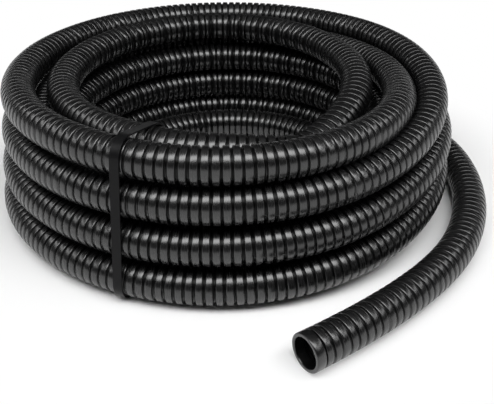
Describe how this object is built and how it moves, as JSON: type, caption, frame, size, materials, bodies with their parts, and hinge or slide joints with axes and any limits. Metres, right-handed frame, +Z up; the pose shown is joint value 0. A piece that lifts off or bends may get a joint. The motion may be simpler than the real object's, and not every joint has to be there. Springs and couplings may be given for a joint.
{
  "type": "corrugated conduit coil",
  "caption": "Round coil of black corrugated flexible conduit, tied by a flat strap, with one free end that lies out on the floor and opens as a plain tube mouth.",
  "frame": {"origin": "on the floor, under the middle of the part's bounding box", "axes": "+Z up, along the coil's axis; the free end's mouth looks towards -X and -Y; +X to the right and +Y away as in the picture"},
  "size_m": [0.3946, 0.4252, 0.1116],
  "materials": {
    "conduit": "black polypropylene, satin",
    "strap": "black plastic band, matt"
  },
  "bodies": {
    "root": {"conduit": "conduit", "strap": "strap"}
  },
  "joints": []
}
